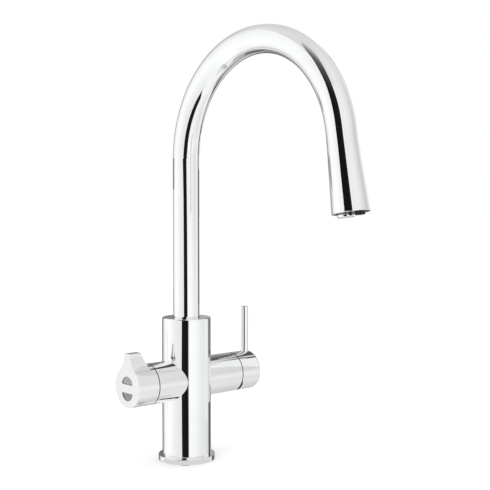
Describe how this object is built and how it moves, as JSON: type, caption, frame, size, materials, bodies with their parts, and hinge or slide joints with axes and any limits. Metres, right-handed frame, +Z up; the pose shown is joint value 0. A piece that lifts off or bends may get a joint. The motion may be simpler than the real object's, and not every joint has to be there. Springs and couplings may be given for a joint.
{
  "type": "boiling water tap",
  "caption": "Deck-mounted kitchen tap with a swivelling gooseneck spout, a boiling and chilled water knob with push pads, and a single-lever mixer.",
  "frame": {"origin": "centre of the tap hole, on the worktop's upper surface, where the column's axis meets the underside of the base ring", "axes": "+Z up along the column; the spout reaches towards -Y; the boiling and chilled knob is on -X and the mixer lever on +X"},
  "size_m": [0.1587, 0.2697, 0.4277],
  "materials": {
    "chrome": "polished chrome plate on brass",
    "pad_steel": "fine brushed steel",
    "pad_steel_dark": "fine brushed steel, darker",
    "brass": "turned brass",
    "steel": "stainless steel",
    "rubber": "moulded sealing rubber",
    "bearing_plastic": "low-friction bearing plastic",
    "white_plastic": "moulded cartridge plastic",
    "black_plastic": "moulded black plastic",
    "clear_hose": "food-grade tube",
    "ceramic": "lapped alumina",
    "circuit_board": "solder-masked laminate",
    "hot_red": "enamel dot",
    "cold_blue": "enamel dot"
  },
  "bodies": {
    "tap": {"base_ring": "chrome", "base_gasket": "rubber", "tap_body": "chrome", "shank_bush": "brass", "core_clamp_ring": "brass", "water_core": "brass", "core_seals": "rubber", "inlet_unions": "brass", "transfer_seals": "rubber", "spout_thrust_washer": "bearing_plastic", "spout_lower_bearing": "bearing_plastic", "spout_upper_bearing": "bearing_plastic", "spout_stop_screw": "steel", "hot_mark": "hot_red", "cold_mark": "cold_blue", "control_housing": "black_plastic", "knob_bearing_plate": "black_plastic", "sensor_board": "circuit_board", "cable_socket": "white_plastic", "cartridge_housing": "white_plastic", "cartridge_seals": "rubber", "fixed_ceramic_disc": "ceramic", "cartridge_nut": "brass"},
    "spout": {"spout_tube": "chrome", "spout_ferrule": "brass", "mixed_water_tube": "clear_hose", "filtered_water_tube": "clear_hose", "outlet_carrier": "black_plastic", "aerator_housing": "chrome", "aerator_screen": "white_plastic", "filtered_nozzle": "black_plastic"},
    "knob": {"knob_shell": "chrome", "knob_hub": "white_plastic", "knob_shaft": "steel", "shaft_clip": "steel", "knob_return_spring": "steel", "shaft_magnet": "steel", "knob_grub_screw": "steel", "button_board": "circuit_board", "button_switches": "black_plastic", "boiling_button_spring": "steel", "chilled_button_spring": "steel"},
    "boiling_pad": {"boiling_button": "pad_steel"},
    "chilled_pad": {"chilled_button": "pad_steel_dark"},
    "mixer_spindle": {"cartridge_rotor": "black_plastic", "pivot_pin": "steel"},
    "mixer_disc": {"sliding_ceramic_disc": "ceramic", "disc_carrier": "white_plastic"},
    "mixer_handle": {"mixer_stem": "steel", "mixer_cap": "chrome", "mixer_lever": "chrome", "mixer_grub_screw": "steel"}
  },
  "joints": [
    {"name": "spout_swivel", "type": "hinge", "parent": "tap", "child": "spout", "pos_m": [0, 0, 0.13], "axis": [0, 0, 1], "range_deg": [-75, 75]},
    {"name": "knob_turn", "type": "hinge", "parent": "tap", "child": "knob", "pos_m": [-0.06, 0, 0.0828], "axis": [1, 0, 0], "range_deg": [-40, 40], "stiffness_Nm_per_rad": 0.15},
    {"name": "boiling_push", "type": "slide", "parent": "knob", "child": "boiling_pad", "axis": [1, 0, 0], "range_m": [0, 0.0012], "stiffness_N_per_m": 600, "deforming": ["boiling_button_spring"]},
    {"name": "chilled_push", "type": "slide", "parent": "knob", "child": "chilled_pad", "axis": [1, 0, 0], "range_m": [0, 0.0012], "stiffness_N_per_m": 600, "deforming": ["chilled_button_spring"]},
    {"name": "mixer_turn", "type": "hinge", "parent": "tap", "child": "mixer_spindle", "pos_m": [0.0485, 0, 0.0828], "axis": [1, 0, 0], "range_deg": [-45, 45]},
    {"name": "mixer_tilt", "type": "hinge", "parent": "mixer_spindle", "child": "mixer_handle", "pos_m": [0.0485, 0, 0.0758], "axis": [0, 1, 0], "range_deg": [0, 20]},
    {"name": "mixer_disc_slide", "type": "slide", "parent": "mixer_spindle", "child": "mixer_disc", "axis": [0, 0, 1], "range_m": [0, 0.00325]}
  ],
  "couplings": [
    {"joint": "mixer_disc_slide", "follows": "mixer_tilt", "m_per_rad": 0.0092}
  ]
}
